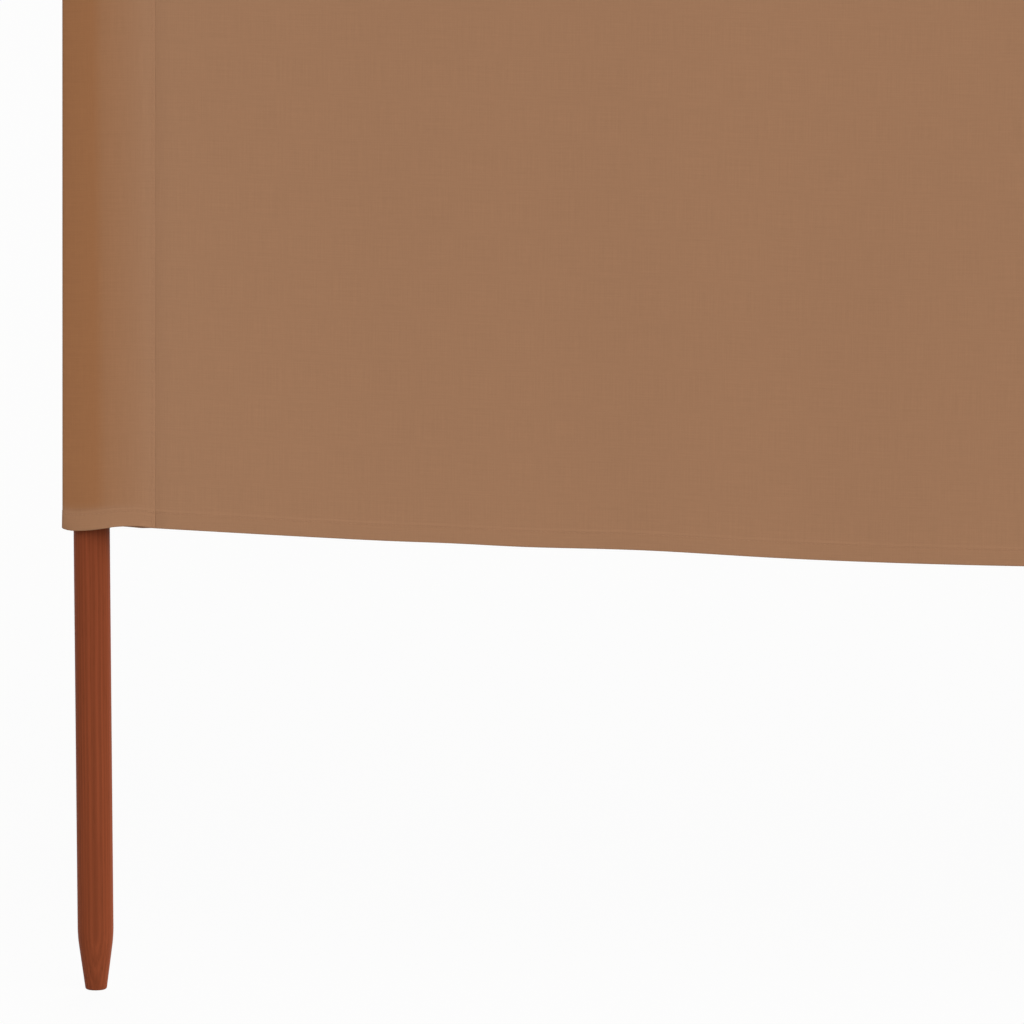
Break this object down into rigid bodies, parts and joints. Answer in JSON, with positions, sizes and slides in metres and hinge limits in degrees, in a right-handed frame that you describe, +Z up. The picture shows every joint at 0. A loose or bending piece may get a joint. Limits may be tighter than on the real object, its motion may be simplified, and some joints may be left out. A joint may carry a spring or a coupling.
{
  "type": "beach windbreak",
  "caption": "Long beach windbreak: plain cloth bays carried on round wooden poles with tapered tips, each pole in a loop on the cloth's back, set out in a shallow zigzag.",
  "frame": {"origin": "centre of the flat end of the middle pole's tip", "axes": "+X along the windbreak to the right as seen from its front, -Y out of its front, +Z up along the poles"},
  "size_m": [7.9156, 0.267, 1.6],
  "materials": {
    "pole_wood": "red-brown stained wood with a soft gloss",
    "cloth": "matt plain-weave polyester cloth, taupe brown"
  },
  "bodies": {
    "root": {"pole_1": "pole_wood", "pole_2": "pole_wood", "pole_3": "pole_wood", "pole_4": "pole_wood", "pole_5": "pole_wood", "pole_6": "pole_wood", "pole_7": "pole_wood", "pole_pocket_1": "cloth", "pole_pocket_2": "cloth", "pole_pocket_3": "cloth", "pole_pocket_4": "cloth", "pole_pocket_5": "cloth", "pole_pocket_6": "cloth", "pole_pocket_7": "cloth", "panel_1": "cloth", "panel_2": "cloth", "panel_3": "cloth", "panel_4": "cloth", "panel_5": "cloth", "panel_6": "cloth", "top_hem_1": "cloth", "top_hem_2": "cloth", "top_hem_3": "cloth", "top_hem_4": "cloth", "top_hem_5": "cloth", "top_hem_6": "cloth", "bottom_hem_1": "cloth", "bottom_hem_2": "cloth", "bottom_hem_3": "cloth", "bottom_hem_4": "cloth", "bottom_hem_5": "cloth", "bottom_hem_6": "cloth"}
  },
  "joints": []
}
